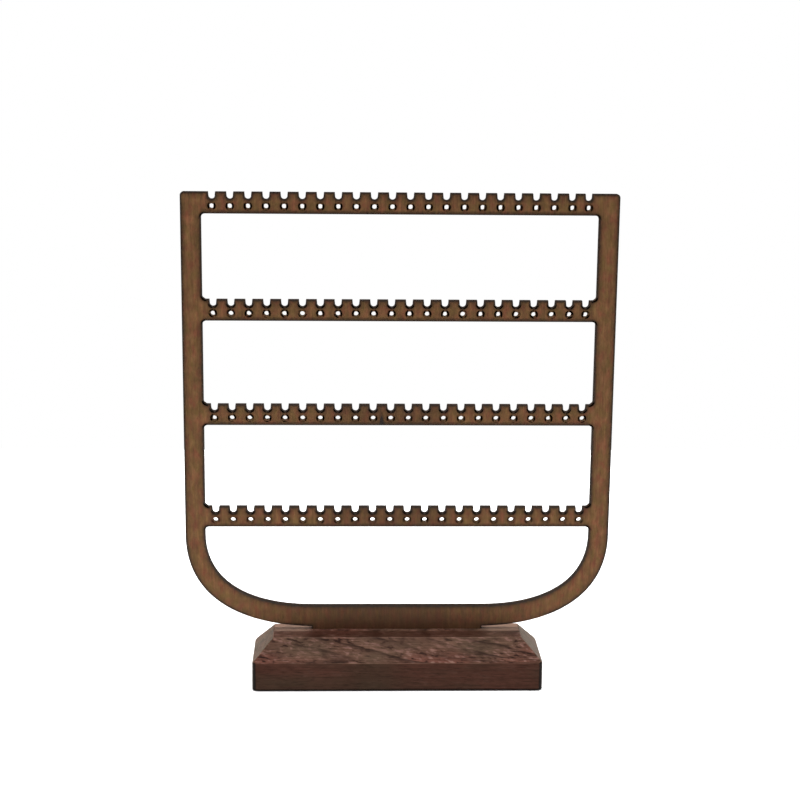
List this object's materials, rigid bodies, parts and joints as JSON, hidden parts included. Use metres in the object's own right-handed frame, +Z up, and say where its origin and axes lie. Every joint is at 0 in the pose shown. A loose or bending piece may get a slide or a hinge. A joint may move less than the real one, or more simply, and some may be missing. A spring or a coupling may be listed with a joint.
{
  "type": "earring display stand",
  "caption": "Free-standing flat panel with notched and drilled rails for hanging earrings, plugged by a tab into a slot in a bevelled wooden base.",
  "frame": {"origin": "on the ground, under the middle of the base", "axes": "+Z up, +X to the right along the rails, -Y towards the front of the display"},
  "size_m": [0.244, 0.042, 0.2833],
  "materials": {
    "face_veneer": "oiled walnut veneer, satin",
    "core_ply": "plywood core, laser-scorched on its cut edges",
    "base_wood": "oiled solid walnut, satin",
    "pad_rubber": "matt"
  },
  "bodies": {
    "base": {"base_block": "base_wood", "foot_pad_front_left": "pad_rubber", "foot_pad_front_right": "pad_rubber", "foot_pad_rear_left": "pad_rubber", "foot_pad_rear_right": "pad_rubber"},
    "panel": {"panel_core_ply": "core_ply", "panel_front_veneer": "face_veneer", "panel_back_veneer": "face_veneer"}
  },
  "joints": [
    {"name": "panel_lift", "type": "slide", "parent": "base", "child": "panel", "axis": [0, 0, 1], "range_m": [0, 0.02]}
  ]
}
